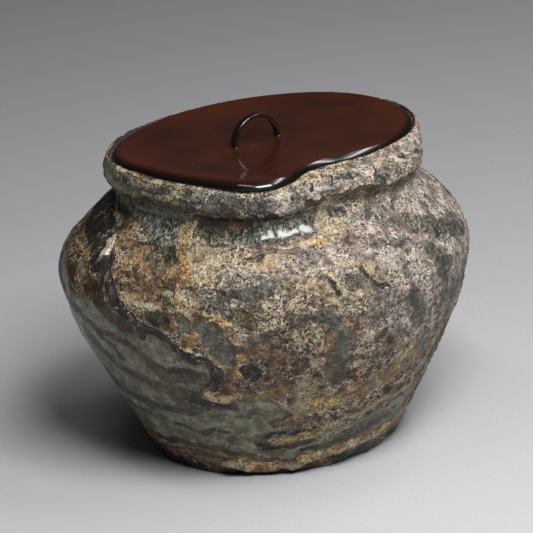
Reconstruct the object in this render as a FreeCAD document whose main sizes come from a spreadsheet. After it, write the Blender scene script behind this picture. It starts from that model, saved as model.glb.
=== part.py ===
"""Fresh water jar: a kiln-warped stoneware jar with a lacquered lid board and its bent loop.

The jar stands on its flat foot. The origin is the middle of the foot on the resting plane,
+Z is up, the lid's front lobe points along -Y and +X is to the right of it.
All sizes are millimetres.
"""
import os
from math import cos, exp, hypot, radians, sin

import FreeCAD
import Part
import Sketcher
from FreeCAD import Placement, Rotation, Vector

document = FreeCAD.newDocument("fresh_water_jar")

# Driving sizes, one cell each

SIZES = (
    ("foot_radius", 64.0, "edge of the flat foot"),
    ("foot_round", 1.6, "worn rounding of the foot's edge"),
    ("belly_radius", 106.4, "widest part of the wall"),
    ("belly_height", 97.0, "height of the widest part"),
    ("belly_lean", 1.8, "how far the belly stands to the right of the foot"),
    ("neck_radius", 75.0, "narrowest part under the rim"),
    ("neck_drop", 16.5, "from the lid's seat down to the narrowest part"),
    ("mouth_lean_x", 5.2, "how far the mouth stands to the right of the foot"),
    ("mouth_lean_y", -3.0, "how far the mouth stands in front of the foot"),
    ("rim_overhang", 5.0, "how far the rolled rim band stands out over the neck"),
    ("rim_round", 2.6, "rounding of the band's lower and upper edge"),
    ("rim_drop", 10.5, "from the lid's seat down to the band's lower edge"),
    ("rim_sag", 1.9, "how far the band's lower edge wanders up and down"),
    ("seat_height", 156.0, "ledge that the lid rests on"),
    ("seat_width", 6.5, "width of the ledge under the lid's edge"),
    ("lip_rise", 3.2, "height of the lip that stands round the lid"),
    ("wall", 7.0, "thickness of the thrown wall"),
    ("floor_thickness", 9.5, "thickness of the bottom"),
    ("floor_round", 14.0, "rounding between the bottom and the wall inside"),
    ("hollow_push", 5.5, "depth of the hollow in the left shoulder"),
    ("hollow_push_drop", 28.0, "from the lid's seat down to the hollow's middle"),
    ("hollow_push_reach", 11.0, "how far the hollow spreads up and down"),
    ("left_drop", 3.4, "how much further in the left shoulder lies"),
    ("left_drop_rise", 20.0, "from the belly up to where it lies furthest in"),
    ("left_drop_reach", 16.0, "how far that spreads up and down"),
    ("lid_clearance", 0.9, "gap round the lid's edge and round its step"),
    ("lid_seat_gap", 0.3, "gap under the lid's edge"),
    ("lid_edge", 5.2, "thickness of the lid's edge"),
    ("lid_dish", 2.6, "how deep the lid's top is dished"),
    ("lid_step", 4.0, "depth of the step that drops into the mouth"),
    ("lid_top_round", 2.5, "rounding of the lid's upper edge"),
    ("lid_chamfer", 0.8, "bevel of the lid's lower edge"),
    ("step_chamfer", 0.8, "bevel of the step's lower edge"),
    ("loop_x", -2.8, "middle of the loop from the mouth's centre"),
    ("loop_y", -4.1, "middle of the loop from the mouth's centre"),
    ("loop_radius", 13.0, "middle line of the bent strip"),
    ("loop_leg", 0.7, "straight part of each leg above the lid"),
    ("strip_width", 4.4, "width of the bent strip"),
    ("strip_thickness", 1.8, "thickness of the bent strip"),
    ("strip_chamfer", 0.5, "bevel of the strip's long edges"),
    ("tenon_depth", 3.6, "how far each leg goes into the lid"),
    ("mortise_clearance", 0.12, "gap round each leg in the lid"),
    ("overrun", 4.0, "how far a cutting form runs past what it cuts"),
)

# Angles in degrees, seen from above, 0 to the right and 90 to the back
HOLLOW_ANGLE = 196.0
HOLLOW_SPREAD = 15.0
LEFT_DROP_ANGLE = 180.0
LEFT_DROP_SPREAD = 60.0
SAG_ANGLE = 272.0
LIFT_ANGLE = 224.0
SAG_SPREAD = 21.0
LOOP_TURN = 33.0

# Wall from the foot to the belly: shares of the height, of the radius gained and of the lean
LOWER_WALL_SHARES = (
    (0.06, 0.055, 0.30),
    (0.19, 0.210, 0.75),
    (0.38, 0.440, 1.00),
    (0.59, 0.680, 0.95),
    (0.79, 0.895, 0.85),
    (1.00, 1.000, 1.00),
)

# Wall from the belly to the neck: shares of the height, of the radius lost, of the lean and
# of the rim's warp
UPPER_WALL_SHARES = (
    (0.18, 0.040, 0.20, 0.02),
    (0.38, 0.185, 0.40, 0.10),
    (0.58, 0.450, 0.60, 0.28),
    (0.76, 0.730, 0.80, 0.48),
    (0.90, 0.925, 0.92, 0.62),
    (1.00, 1.000, 1.00, 0.70),
)

# Warped outline of the rim, from the right counter-clockwise in equal steps, as shares of the
# rim's radius: round the band, level with the lid's seat and at the top of the lip
BAND_SHARES = (
    1.012, 1.034, 1.056, 1.056, 1.028, 0.990, 0.953, 0.930, 0.922, 0.925, 0.944, 0.975,
    1.005, 1.007, 0.990, 0.974, 0.988, 1.007, 1.020, 0.993, 0.953, 1.000, 1.041, 1.033,
)
SEAT_SHARES = (
    1.004, 1.028, 1.051, 1.051, 1.024, 0.986, 0.949, 0.926, 0.918, 0.920, 0.939, 0.970,
    1.000, 1.001, 0.970, 0.945, 0.955, 0.982, 0.988, 0.915, 0.800, 0.870, 0.950, 0.992,
)
LIP_SHARES = (
    0.996, 1.025, 1.046, 1.044, 1.013, 0.973, 0.935, 0.913, 0.904, 0.906, 0.923, 0.953,
    0.985, 0.983, 0.920, 0.862, 0.856, 0.888, 0.900, 0.775, 0.675, 0.713, 0.825, 0.944,
)

# Lid outline, as shares of the rim's radius: radius of each round with its centre from the
# mouth's centre, and radius of each bend that leads on from it, bulging out or hollow
LOBE_SHARES = {
    "right": (0.7425, 0.2225, 0.1475),
    "left": (0.5338, -0.4163, -0.0663),
    "front": (0.2875, -0.0588, -0.6750),
}
BEND_SHARES = {"right": 1.1388, "left": 2.5250, "front": 0.4600}
BULGES = {"right": 1, "left": 1, "front": -1}

# Distance from the middle where the dished lid has its edge's thickness
EDGE_REACH_SHARE = 0.95

# The band's four levels, from its underside up: shares of the rim's warp and of the sag
RIM_WARP_SHARES = (0.85, 1.0, 1.0, 1.0)
RIM_SAG_SHARES = (0.6, 1.0, 0.7, 0.0)

# Rounding between floor and wall inside: turns in degrees, from the floor up
FLOOR_ROUND_TURNS = (0.0, 30.0, 60.0)

# The dished board's upper edge lies above this share of the dish's depth
CREST_SHARE = 0.1


def make_sheet():
    """Put every driving size in the sheet, with its alias and what it is."""
    made = document.addObject("Spreadsheet::Sheet", "sizes")
    for row, (alias, value, meaning) in enumerate(SIZES, start=1):
        made.set(f"A{row}", alias)
        made.set(f"B{row}", str(value))
        made.setAlias(f"B{row}", alias)
        made.set(f"C{row}", meaning)
    document.recompute()
    return made


sheet = make_sheet()


def size(alias):
    """One driving size, read from the sheet."""
    return float(getattr(sheet, alias))


def rim_radius():
    """Outside of the rolled rim band, before it is warped."""
    return size("neck_radius") + size("rim_overhang")


# Warped wall of the jar

def angle_between(first, second):
    """Smallest turn between two directions, in degrees."""
    return (first - second + 180.0) % 360.0 - 180.0


def bell(distance, spread):
    """A soft hump that is one in the middle and fades past its spread."""
    return exp(-((distance / spread) ** 2))


def wall_stations():
    """Height, radius, centre and share of the warp of each level, from the foot to the neck."""
    foot, belly, neck = size("foot_radius"), size("belly_radius"), size("neck_radius")
    lean = size("belly_lean")
    stations = [(0.0, foot - size("foot_round"), 0.0, 0.0, 0.0)]
    for height_share, gain_share, lean_share in LOWER_WALL_SHARES:
        height = size("belly_height") * height_share
        stations.append((height, foot + (belly - foot) * gain_share, lean * lean_share, 0.0, 0.0))
    shoulder = size("seat_height") - size("neck_drop") - size("belly_height")
    for height_share, loss_share, lean_share, warp_share in UPPER_WALL_SHARES:
        height = size("belly_height") + shoulder * height_share
        centre_x = lean + (size("mouth_lean_x") - lean) * lean_share
        centre_y = size("mouth_lean_y") * lean_share
        radius = belly - (belly - neck) * loss_share
        stations.append((height, radius, centre_x, centre_y, warp_share))
    return stations


def rim_stations():
    """The band's levels: its underside, its lower edge and two up its side."""
    centre = size("mouth_lean_x"), size("mouth_lean_y")
    radius, rounding = rim_radius(), size("rim_round")
    lower = size("seat_height") - size("rim_drop")
    neck = size("seat_height") - size("neck_drop")
    levels = (
        ((neck + lower) / 2, (size("neck_radius") + radius - rounding) / 2),
        (lower, radius - rounding / 2),
        (lower + rounding, radius),
        (size("seat_height") - rounding, radius),
    )
    return [(*level, *centre, warp) for level, warp in zip(levels, RIM_WARP_SHARES)]


def inner_stations(outer):
    """The outside's levels moved in by the wall, from the floor's rounding to the neck."""
    wall, floor, rounding = size("wall"), size("floor_thickness"), size("floor_round")
    moved = []
    for before, here, after in zip(outer, outer[1:], outer[2:]):
        rise, spread = after[0] - before[0], after[1] - before[1]
        length = hypot(rise, spread)
        height = here[0] + wall * spread / length
        moved.append((height, here[1] - wall * rise / length, *here[2:]))
    upper = [station for station in moved if station[0] > floor + rounding]
    corner = []
    for turn in FLOOR_ROUND_TURNS:
        height = floor + rounding * (1 - cos(radians(turn)))
        inset = rounding * (1 - sin(radians(turn)))
        corner.append((height, radius_at(moved, height) - inset, *upper[0][2:]))
    return corner + upper


def radius_at(stations, height):
    """Radius at a height, straight between the two stations next to it or on past the first."""
    pairs = list(zip(stations, stations[1:]))
    lower, upper = next((pair for pair in pairs if pair[1][0] >= height), pairs[-1])
    share = (height - lower[0]) / (upper[0] - lower[0])
    return lower[1] + (upper[1] - lower[1]) * share


def pushed_in(angle, height):
    """How far the shoulder is pushed in at this place."""
    hollow = size("hollow_push") * bell(angle_between(angle, HOLLOW_ANGLE), HOLLOW_SPREAD)
    middle = size("seat_height") - size("hollow_push_drop")
    hollow *= bell(height - middle, size("hollow_push_reach"))
    drop = size("left_drop") * bell(angle_between(angle, LEFT_DROP_ANGLE), LEFT_DROP_SPREAD)
    middle = size("belly_height") + size("left_drop_rise")
    drop *= bell(height - middle, size("left_drop_reach"))
    return hollow + drop


def wander(angle):
    """How far the band's lower edge lies above or below its level at this angle."""
    lift = bell(angle_between(angle, LIFT_ANGLE), SAG_SPREAD)
    sag = bell(angle_between(angle, SAG_ANGLE), SAG_SPREAD)
    return size("rim_sag") * (lift - sag)


def level_curve(name, station, outline=BAND_SHARES, sag_share=0.0):
    """A smooth closed curve round the jar at one level."""
    height, radius, centre_x, centre_y, warp = station
    steps = len(outline)
    points = []
    for step, share in enumerate(outline):
        angle = 360.0 * step / steps
        reach = radius * (1 + (share - 1) * warp) - pushed_in(angle, height)
        points.append(Vector(centre_x + reach * cos(radians(angle)),
                             centre_y + reach * sin(radians(angle)),
                             height + wander(angle) * sag_share))
    curve = Part.BSplineCurve()
    curve.interpolate(Points=points, PeriodicFlag=True,
                      Parameters=[float(step) for step in range(steps + 1)])
    made = document.addObject("Part::Feature", name)
    made.Shape = Part.Wire(curve.toShape())
    return made


def loft(name, curves, smooth=False):
    """A solid form through closed curves, from the lowest to the highest."""
    made = document.addObject("Part::Loft", name)
    made.Sections = curves
    made.Solid = True
    made.Ruled = not smooth
    return made


def make_outside():
    """The outside in three lofts that share their end curves: wall, shoulder and rim."""
    levels = [level_curve("wall_level", station) for station in wall_stations()]
    belly = len(LOWER_WALL_SHARES)
    rim = [levels[-1]]
    for station, sag_share in zip(rim_stations(), RIM_SAG_SHARES):
        rim.append(level_curve("rim_level", station, sag_share=sag_share))
    seat = (size("seat_height"), rim_radius(), size("mouth_lean_x"), size("mouth_lean_y"), 1.0)
    lip = (seat[0] + size("lip_rise"), *seat[1:])
    rim.append(level_curve("seat_level", seat, SEAT_SHARES))
    rim.append(level_curve("lip_level", lip, LIP_SHARES))
    outside = document.addObject("Part::MultiFuse", "outside")
    outside.Shapes = [loft("wall_below_belly", levels[:belly + 1]),
                      loft("shoulder", levels[belly:], smooth=True),
                      loft("rim_band", rim)]
    return outside


def make_hollow():
    """The space inside, from the floor to the throat under the rim."""
    stations = inner_stations(wall_stations() + rim_stations()[:1])
    throat = stations[-1]
    top = size("seat_height") - size("rim_drop")
    stations.append((top, *throat[1:]))
    return loft("hollow", [level_curve("inside_level", station) for station in stations])


# Outline of the lid, six arcs that run into each other

def meeting_point(first, second, first_reach, second_reach, on_left):
    """The point at the given distances from two centres, left or right of the way between."""
    across = second - first
    gap = across.Length
    along = (gap ** 2 + first_reach ** 2 - second_reach ** 2) / (2 * gap)
    side = max(first_reach ** 2 - along ** 2, 0.0) ** 0.5
    forward = across / gap
    sideways = Vector(-forward.y, forward.x, 0.0)
    return first + forward * along + sideways * (side if on_left else -side)


def lid_arcs(inset):
    """Centre, radius, first and last point of each arc, counter-clockwise, drawn in by inset."""
    centres = [Vector(x, y, 0.0) * rim_radius() for _, x, y in LOBE_SHARES.values()]
    radii = [share * rim_radius() for share, _, _ in LOBE_SHARES.values()]
    bends = []
    for index, (lobe, bulge) in enumerate(BULGES.items()):
        radius, after = BEND_SHARES[lobe] * rim_radius(), (index + 1) % len(BULGES)
        centre = meeting_point(centres[index], centres[after],
                               abs(radius - bulge * radii[index]),
                               abs(radius - bulge * radii[after]), bulge > 0)
        bends.append((centre, radius - bulge * inset, bulge))

    def touch(lobe, bend):
        """Where a lobe and a bend run into each other."""
        centre, radius, bulge = bends[bend]
        outward = (centres[lobe] - centre).normalize() * bulge
        return centres[lobe] + outward * (radii[lobe] - inset)

    arcs = []
    for index in range(len(BULGES)):
        after = (index + 1) % len(BULGES)
        centre, radius, bulge = bends[index]
        ends = [touch(index, index), touch(after, index)]
        arcs.append((centres[index], radii[index] - inset, touch(index, index - 1), ends[0]))
        arcs.append((centre, radius, *(ends if bulge > 0 else reversed(ends))))
    return arcs


def arc_between(centre, radius, first, last):
    """Counter-clockwise arc of a circle from one point to another."""
    turns = [Vector(1, 0, 0).getAngle(point - centre) for point in (first, last)]
    turns = [turn if point.y >= centre.y else -turn for turn, point in zip(turns, (first, last))]
    return Part.ArcOfCircle(Part.Circle(centre, Vector(0, 0, 1), radius), *turns)


def fix(sketch, kind, *where, bind=None, value=None):
    """Add one constraint, and bind it to an expression of the sheet's sizes."""
    arguments = where if value is None else (*where, value)
    index = sketch.addConstraint(Sketcher.Constraint(kind, *arguments))
    if bind:
        sketch.setExpression(f"Constraints[{index}]", bind)


RIM = "(sizes.neck_radius + sizes.rim_overhang)"


def draw_lid_outline(sketch, inset, bound_inset):
    """Draw the six arcs, fixed by their lobes, their radii and their smooth joints."""
    arcs = lid_arcs(inset)
    for arc in arcs:
        sketch.addGeometry(arc_between(*arc), False)
    for index, (radius_share, x_share, y_share) in enumerate(LOBE_SHARES.values()):
        edge = 2 * index
        centre, radius = arcs[edge][:2]
        fix(sketch, "DistanceX", -1, 1, edge, 3, value=centre.x, bind=f"{RIM} * {x_share}")
        fix(sketch, "DistanceY", -1, 1, edge, 3, value=centre.y, bind=f"{RIM} * {y_share}")
        fix(sketch, "Radius", edge, value=radius, bind=f"{RIM} * {radius_share} - ({bound_inset})")
    for index, (lobe, bulge) in enumerate(BULGES.items()):
        edge, after = 2 * index + 1, (2 * index + 2) % len(arcs)
        sign = "-" if bulge > 0 else "+"
        fix(sketch, "Radius", edge, value=arcs[edge][1],
            bind=f"{RIM} * {BEND_SHARES[lobe]} {sign} ({bound_inset})")
        near, far = (1, 2) if bulge > 0 else (2, 1)
        fix(sketch, "Tangent", edge - 1, 2, edge, near)
        fix(sketch, "Tangent", edge, far, after, 1)


def mouth_cut(name, inset, bound_inset, floor, rise):
    """A cutting form with the lid's outline, drawn in by inset, from its floor up."""
    sketch = document.addObject("Sketcher::SketchObject", name + "_outline")
    draw_lid_outline(sketch, inset, bound_inset)
    sketch.setExpression("Placement.Base.x", "sizes.mouth_lean_x")
    sketch.setExpression("Placement.Base.y", "sizes.mouth_lean_y")
    sketch.setExpression("Placement.Base.z", floor)
    made = document.addObject("Part::Extrusion", name)
    made.Base = sketch
    made.DirMode = "Custom"
    made.Dir = Vector(0, 0, 1)
    made.Solid = True
    made.setExpression("LengthFwd", rise)
    return made


def make_jar_body():
    """The thrown and warped wall, hollowed, with a bored mouth and a ledge for the lid."""
    outside = make_outside()
    hollow = make_hollow()
    bore = mouth_cut("mouth_bore", size("seat_width"), "sizes.seat_width",
                     "sizes.seat_height - sizes.rim_drop - sizes.overrun / 2",
                     "sizes.rim_drop + sizes.lip_rise + sizes.overrun")
    rebate = mouth_cut("lid_rebate", -size("lid_clearance"), "-sizes.lid_clearance",
                       "sizes.seat_height", "sizes.lip_rise + sizes.overrun")
    cuts = document.addObject("Part::MultiFuse", "hollow_forms")
    cuts.Shapes = [hollow, bore, rebate]
    jar = document.addObject("Part::Cut", "jar_body")
    jar.Base = outside
    jar.Tool = cuts
    jar.Label = "jar_body"
    return jar


# Bodies and sketches of the lid

def make_body(label, binds):
    """An empty body whose Label names its file, with its place bound to the sizes."""
    body = document.addObject("PartDesign::Body", label)
    body.Label = label
    for axis, bind in zip("xyz", binds):
        body.setExpression(f"Placement.Base.{axis}", bind)
    return body


def plane_sketch(body, name, role, lift=None):
    """A sketch on one of the body's own origin planes, lifted along its normal."""
    sketch = body.newObject("Sketcher::SketchObject", name)
    plane = next(item for item in body.Origin.OriginFeatures if item.Role == role)
    sketch.AttachmentSupport = [(plane, "")]
    sketch.MapMode = "FlatFace"
    if lift:
        sketch.setExpression("AttachmentOffset.Base.z", lift)
    return sketch


def add_feature(body, kind, name, binds, **settings):
    """A PartDesign feature with its settings and with sizes bound to expressions."""
    made = body.newObject("PartDesign::" + kind, name)
    for key, value in settings.items():
        setattr(made, key, value)
    for key, bind in binds.items():
        made.setExpression(key, bind)
    document.recompute()
    return made


def draw_rectangle(sketch, left, right, bottom, top):
    """A rectangle; each side is a value and the expression that it is bound to."""
    first = sketch.GeometryCount
    corners = [Vector(x[0], y[0], 0)
               for x, y in ((left, bottom), (right, bottom), (right, top), (left, top))]
    for index, corner in enumerate(corners):
        sketch.addGeometry(Part.LineSegment(corner, corners[(index + 1) % 4]), False)
    for index in range(4):
        fix(sketch, "Coincident", first + index, 2, first + (index + 1) % 4, 1)
        fix(sketch, ("Horizontal", "Vertical")[index % 2], first + index)
    for kind, edge, (value, bind) in (("DistanceX", 0, left), ("DistanceX", 2, right),
                                      ("DistanceY", 0, bottom), ("DistanceY", 2, top)):
        fix(sketch, kind, -1, 1, first + edge, 1, value=value, bind=bind)


def flat_edges(shape, height):
    """Names of the edges that lie level at a height."""
    nearly = size("step_chamfer") / 100
    return [f"Edge{index}" for index, edge in enumerate(shape.Edges, start=1)
            if abs(edge.BoundBox.ZMin - height) < nearly and edge.BoundBox.ZLength < nearly]


# Lid board

def draw_dish(sketch):
    """What the dish takes off the board: everything above a shallow arc about the middle."""
    edge, depth, reach = size("lid_edge"), size("lid_dish"), rim_radius() * EDGE_REACH_SHARE
    bound_reach = f"{RIM} * {EDGE_REACH_SHARE}"
    radius = (reach ** 2 + depth ** 2) / (2 * depth)
    far = reach + 4 * size("overrun")
    bottom, top = edge - depth, edge + 2 * size("overrun")
    centre = Vector(0, bottom + radius, 0)
    low = Vector(0, bottom, 0)
    corners = [Vector(far, centre.y - (radius ** 2 - far ** 2) ** 0.5, 0),
               Vector(far, top, 0), Vector(0, top, 0), low]
    sketch.addGeometry(arc_between(centre, radius, low, corners[0]), False)
    for start, end in zip(corners, corners[1:]):
        sketch.addGeometry(Part.LineSegment(start, end), False)
    for edge_index in range(4):
        fix(sketch, "Coincident", edge_index, 2, (edge_index + 1) % 4, 1)
    fix(sketch, "Vertical", 1)
    fix(sketch, "Horizontal", 2)
    fix(sketch, "Vertical", 3)
    fix(sketch, "PointOnObject", 0, 1, -2)
    fix(sketch, "PointOnObject", 0, 3, -2)
    fix(sketch, "DistanceY", -1, 1, 0, 1, value=bottom, bind="sizes.lid_edge - sizes.lid_dish")
    fix(sketch, "Radius", 0, value=radius,
        bind=f"(({bound_reach}) ^ 2 + sizes.lid_dish ^ 2) / (2 * sizes.lid_dish)")
    fix(sketch, "DistanceX", -1, 1, 0, 2, value=far,
        bind=f"{bound_reach} + 4 * sizes.overrun")
    fix(sketch, "DistanceY", -1, 1, 2, 1, value=top, bind="sizes.lid_edge + 2 * sizes.overrun")


def make_lid_board():
    """The lacquered board: dished top, rounded edge and a step that drops into the mouth."""
    body = make_body("lid_board", ("sizes.mouth_lean_x", "sizes.mouth_lean_y",
                                   "sizes.seat_height + sizes.lid_seat_gap"))
    outline = plane_sketch(body, "board_outline", "XY_Plane")
    draw_lid_outline(outline, 0.0, "0")
    blank = add_feature(body, "Pad", "board_blank",
                        {"Length": "sizes.lid_edge + sizes.overrun"}, Profile=outline)
    bevelled = add_feature(body, "Chamfer", "lower_edge_bevel", {"Size": "sizes.lid_chamfer"},
                           Base=(blank, flat_edges(blank.Shape, 0.0)))
    dish = plane_sketch(body, "dish_profile", "XZ_Plane")
    draw_dish(dish)
    dished = add_feature(body, "Groove", "dished_top", {}, Profile=dish,
                         ReferenceAxis=(dish, ["V_Axis"]), Angle=360.0)
    if dished.Shape.Volume >= bevelled.Shape.Volume:
        raise ValueError("the dish cuts nothing")
    crest = size("lid_edge") - size("lid_dish") * (1 - CREST_SHARE)
    upper = [f"Edge{index}" for index, edge in enumerate(dished.Shape.Edges, start=1)
             if edge.BoundBox.ZMin > crest]
    add_feature(body, "Fillet", "upper_edge_round", {"Radius": "sizes.lid_top_round"},
                Base=(dished, upper))
    step_outline = plane_sketch(body, "step_outline", "XY_Plane")
    draw_lid_outline(step_outline, size("seat_width") + size("lid_clearance"),
                     "sizes.seat_width + sizes.lid_clearance")
    step = add_feature(body, "Pad", "mouth_step", {"Length": "sizes.lid_step"},
                       Profile=step_outline, Reversed=True)
    stepped = add_feature(body, "Chamfer", "step_edge_bevel", {"Size": "sizes.step_chamfer"},
                          Base=(step, flat_edges(step.Shape, -size("lid_step"))))
    mortises = plane_sketch(body, "mortise_outlines", "XY_Plane",
                            "sizes.lid_edge - sizes.lid_dish + sizes.overrun")
    mortises.AttachmentOffset = Placement(Vector(), Rotation(Vector(0, 0, 1), LOOP_TURN))
    mortises.setExpression("AttachmentOffset.Base.x", "sizes.loop_x")
    mortises.setExpression("AttachmentOffset.Base.y", "sizes.loop_y")
    for side in (-1, 1):
        draw_rectangle(mortises, *strip_sides(side, "mortise_clearance"))
    pocket = add_feature(
        body, "Pocket", "mortises",
        {"Length": "sizes.overrun + sizes.tenon_depth + sizes.mortise_clearance"},
        Profile=mortises)
    if pocket.Shape.Volume >= stepped.Shape.Volume:
        raise ValueError("the mortises cut nothing")
    return body


def strip_sides(side, clearance=None):
    """Left, right, lower and upper side of the strip's section at one foot of the loop."""
    gap, bound_gap = (size(clearance), f" + sizes.{clearance}") if clearance else (0.0, "")
    thick, wide = size("strip_thickness") / 2 + gap, size("strip_width") / 2 + gap
    foot = size("loop_radius") * side
    bound_foot = f"sizes.loop_radius * {side}"
    return ((foot - thick, f"{bound_foot} - (sizes.strip_thickness / 2{bound_gap})"),
            (foot + thick, f"{bound_foot} + (sizes.strip_thickness / 2{bound_gap})"),
            (-wide, f"-(sizes.strip_width / 2{bound_gap})"),
            (wide, f"sizes.strip_width / 2{bound_gap}"))


# Lid loop

def make_lid_loop():
    """The bent strip: an arch on two short legs that go on as tenons into the board."""
    body = make_body("lid_loop", (
        "sizes.mouth_lean_x + sizes.loop_x", "sizes.mouth_lean_y + sizes.loop_y",
        "sizes.seat_height + sizes.lid_seat_gap + sizes.lid_edge - sizes.lid_dish"))
    body.Placement = Placement(Vector(), Rotation(Vector(0, 0, 1), LOOP_TURN))
    strip = plane_sketch(body, "strip_section", "XY_Plane", "-sizes.tenon_depth")
    draw_rectangle(strip, *strip_sides(-1))
    arch = plane_sketch(body, "arch_line", "XZ_Plane")
    radius, leg, tenon = size("loop_radius"), size("loop_leg"), size("tenon_depth")
    feet = [Vector(-radius, -tenon, 0), Vector(radius, -tenon, 0)]
    bends = [Vector(-radius, leg, 0), Vector(radius, leg, 0)]
    arch.addGeometry(Part.LineSegment(feet[0], bends[0]), False)
    arch.addGeometry(arc_between(Vector(0, leg, 0), radius, bends[1], bends[0]), False)
    arch.addGeometry(Part.LineSegment(bends[1], feet[1]), False)
    fix(arch, "Tangent", 0, 2, 1, 2)
    fix(arch, "Tangent", 1, 1, 2, 1)
    fix(arch, "Vertical", 0)
    fix(arch, "Horizontal", 1, 1, 1, 2)
    fix(arch, "PointOnObject", 1, 3, -2)
    fix(arch, "Radius", 1, value=radius, bind="sizes.loop_radius")
    fix(arch, "DistanceY", -1, 1, 1, 3, value=leg, bind="sizes.loop_leg")
    fix(arch, "DistanceY", -1, 1, 0, 1, value=-tenon, bind="-sizes.tenon_depth")
    fix(arch, "Horizontal", 0, 1, 2, 2)
    document.recompute()
    swept = add_feature(body, "AdditivePipe", "bent_strip", {}, Profile=strip,
                        Spine=(arch, []))
    long_edges = [f"Edge{index}" for index, edge in enumerate(swept.Shape.Edges, start=1)
                  if edge.BoundBox.ZLength > size("loop_leg")]
    add_feature(body, "Chamfer", "soft_edges", {"Size": "sizes.strip_chamfer"},
                Base=(swept, long_edges))
    return body


def check_document(parts):
    """Stop if any object failed, or if a piece has no valid solid."""
    for item in document.Objects:
        if "Invalid" in item.State or "Error" in item.State:
            raise ValueError(f"{item.Name} failed: {item.State}")
    for item in parts:
        if item.Shape.isNull() or not item.Shape.isValid():
            raise ValueError(f"{item.Label} has no valid shape")


pieces = [make_jar_body(), make_lid_board(), make_lid_loop()]
document.recompute()
check_document(pieces)
os.makedirs("parts", exist_ok=True)
for piece in pieces:
    piece.Shape.exportStep(os.path.join("parts", piece.Label + ".step"))
    box = piece.Shape.optimalBoundingBox(False)
    print(piece.Label, len(piece.Shape.Solids), "solid", round(piece.Shape.Volume), "mm3",
          [round(value, 1) for value in (box.XMin, box.XMax, box.YMin, box.YMax, box.ZMin,
                                         box.ZMax)])
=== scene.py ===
"""Fresh water jar: the finish of its wood-fired stoneware and of its lacquered lid.

Everything is in metres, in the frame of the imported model: +Z up, the front lobe of the lid
towards -Y, the origin in the middle of the jar's foot. Sizes named in millimetres are turned
into metres by MM.
"""
from math import atan2, cos, pi, radians, sin, tau

import bmesh
import bpy
import numpy as np
from mathutils import Matrix, Vector, noise
from mathutils.bvhtree import BVHTree


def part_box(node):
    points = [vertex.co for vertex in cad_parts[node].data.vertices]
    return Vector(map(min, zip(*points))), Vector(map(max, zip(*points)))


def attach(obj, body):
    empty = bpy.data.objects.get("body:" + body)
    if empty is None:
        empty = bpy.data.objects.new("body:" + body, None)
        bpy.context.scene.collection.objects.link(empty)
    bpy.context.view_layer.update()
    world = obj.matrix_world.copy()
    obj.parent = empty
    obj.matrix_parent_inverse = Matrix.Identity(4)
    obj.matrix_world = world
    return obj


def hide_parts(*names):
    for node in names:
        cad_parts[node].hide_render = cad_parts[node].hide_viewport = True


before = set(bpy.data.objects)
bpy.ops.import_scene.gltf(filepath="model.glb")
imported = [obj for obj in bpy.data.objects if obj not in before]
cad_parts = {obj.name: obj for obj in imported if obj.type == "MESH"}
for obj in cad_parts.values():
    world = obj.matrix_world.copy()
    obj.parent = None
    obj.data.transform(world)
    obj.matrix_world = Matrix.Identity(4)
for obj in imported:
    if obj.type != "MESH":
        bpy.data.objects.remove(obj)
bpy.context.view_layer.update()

MM = 0.001


def added(name, data):
    """A new object in the scene."""
    made = bpy.data.objects.new(name, data)
    bpy.context.scene.collection.objects.link(made)
    return made


# Camera of the photograph

PHOTO_SIDE = 533
LOOK_AT = Vector((2.6, 0.0, 89.0)) * MM
CAMERA_DISTANCE = 2000 * MM
CAMERA_RISE = radians(19.6)
CAMERA_ROLL = radians(-4.7)
SENSOR = 36.0
FOCAL_PIXELS = 3900


def make_camera():
    """The camera at the photograph's viewing angle, with the photograph's slight roll."""
    data = bpy.data.cameras.new("photo_camera")
    data.sensor_width = SENSOR
    data.lens = FOCAL_PIXELS * SENSOR / PHOTO_SIDE
    camera = added("photo_camera", data)
    back = Vector((0.0, -cos(CAMERA_RISE), sin(CAMERA_RISE)))
    turn = (-back).to_track_quat("-Z", "Y").to_matrix() @ Matrix.Rotation(CAMERA_ROLL, 3, "Z")
    camera.matrix_world = Matrix.LocRotScale(LOOK_AT + back * CAMERA_DISTANCE, turn, None)
    bpy.context.scene.camera = camera
    return camera


camera = make_camera()

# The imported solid, read by rays

def tree_of(node):
    """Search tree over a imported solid's faces."""
    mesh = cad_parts[node].data
    return BVHTree.FromPolygons([vertex.co for vertex in mesh.vertices],
                                [face.vertices for face in mesh.polygons])


jar_tree = tree_of("jar_body")
lid_tree = tree_of("lid_board")
FAR = 400 * MM
NUDGE = 0.02 * MM


def hit(tree, start, way):
    """Where a ray first meets a solid; a ray that slips through a seam is moved a little."""
    for shift in (0.0, NUDGE, -NUDGE):
        found = tree.ray_cast(start + Vector((shift, -shift, shift)), way)[0]
        if found:
            return found
    raise ValueError(f"no surface from {start} along {way}")


def on_jar(x, y):
    """The jar's surface under a pixel of the photograph, or None beside the jar."""
    middle = PHOTO_SIDE / 2
    way = camera.matrix_world.to_3x3() @ Vector((x - middle, middle - y, -FOCAL_PIXELS))
    return jar_tree.ray_cast(camera.matrix_world.translation, way.normalized())[0]


def outward(turn):
    """The level direction at an angle."""
    return Vector((cos(turn), sin(turn), 0.0))


# Wall of the jar; the lists of heights are in millimetres

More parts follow.
